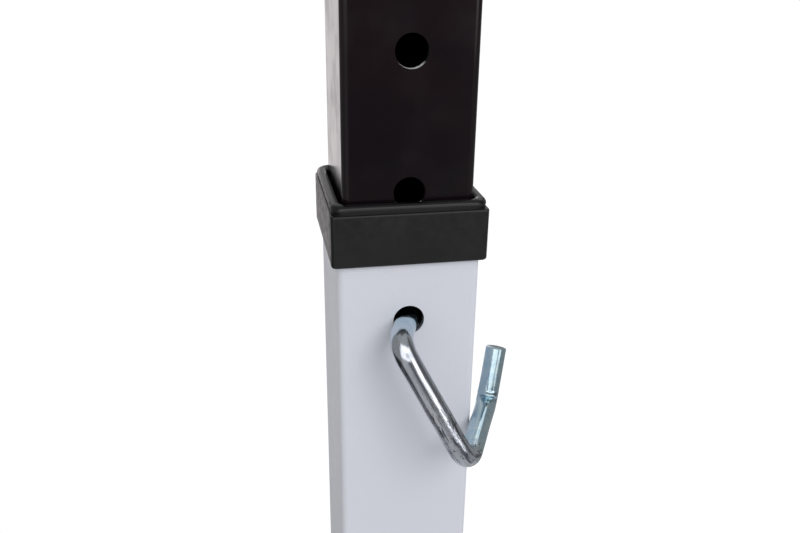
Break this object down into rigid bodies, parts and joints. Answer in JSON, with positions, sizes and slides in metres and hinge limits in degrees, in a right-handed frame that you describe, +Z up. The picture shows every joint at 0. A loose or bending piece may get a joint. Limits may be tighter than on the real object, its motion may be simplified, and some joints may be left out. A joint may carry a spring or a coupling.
{
  "type": "volleyball net on telescopic posts",
  "caption": "Volleyball net on two free-standing telescopic square posts, set in height by bent lock pins through the hole rows.",
  "frame": {"origin": "on the floor, at the middle of the net", "axes": "+X along the net, towards the right post; +Z up; the lock pins go in from the -Y side"},
  "size_m": [4.7278, 0.848, 2.305],
  "materials": {
    "white_paint": "white powder coat, semi gloss",
    "black_paint": "gloss black powder coat",
    "black_plastic": "satin moulded plastic",
    "zinc_rod": "bright zinc plate",
    "zinc_steel": "zinc plate",
    "rubber": "matt",
    "webbing": "woven webbing",
    "net_tape": "folded and sewn tape",
    "net_cord": "knotted cord",
    "dowel_rod": "glass fibre rod"
  },
  "bodies": {
    "bases": {"left_foot_rail": "white_paint", "left_cross_rail": "white_paint", "left_post_socket": "white_paint", "left_brace": "white_paint", "left_outer_tube": "white_paint", "left_collar": "black_plastic", "left_rail_caps": "black_plastic", "left_rubber_feet": "rubber", "left_bolts": "zinc_steel", "left_nuts": "zinc_steel", "right_foot_rail": "white_paint", "right_cross_rail": "white_paint", "right_post_socket": "white_paint", "right_brace": "white_paint", "right_outer_tube": "white_paint", "right_collar": "black_plastic", "right_rail_caps": "black_plastic", "right_rubber_feet": "rubber", "right_bolts": "zinc_steel", "right_nuts": "zinc_steel"},
    "net_and_masts": {"left_mast": "black_paint", "left_mast_glide": "black_plastic", "left_mast_cap": "black_plastic", "left_strap_loops": "zinc_steel", "left_straps": "webbing", "left_buckles": "black_plastic", "left_rings": "zinc_steel", "left_side_band": "net_tape", "left_dowel": "dowel_rod", "right_mast": "black_paint", "right_mast_glide": "black_plastic", "right_mast_cap": "black_plastic", "right_strap_loops": "zinc_steel", "right_straps": "webbing", "right_buckles": "black_plastic", "right_rings": "zinc_steel", "right_side_band": "net_tape", "right_dowel": "dowel_rod", "net_mesh": "net_cord", "top_band": "net_tape", "bottom_band": "net_tape"},
    "left_pin": {"left_lock_pin": "zinc_rod"},
    "right_pin": {"right_lock_pin": "zinc_rod"}
  },
  "joints": [
    {"name": "height_slide", "type": "slide", "parent": "bases", "child": "net_and_masts", "axis": [0, 0, 1], "range_m": [-0.368, 0.184]},
    {"name": "left_pin_pull", "type": "slide", "parent": "bases", "child": "left_pin", "axis": [0.3518, -0.9361, 0], "range_m": [0, 0.06]},
    {"name": "right_pin_pull", "type": "slide", "parent": "bases", "child": "right_pin", "axis": [-0.3518, -0.9361, 0], "range_m": [0, 0.06]}
  ]
}
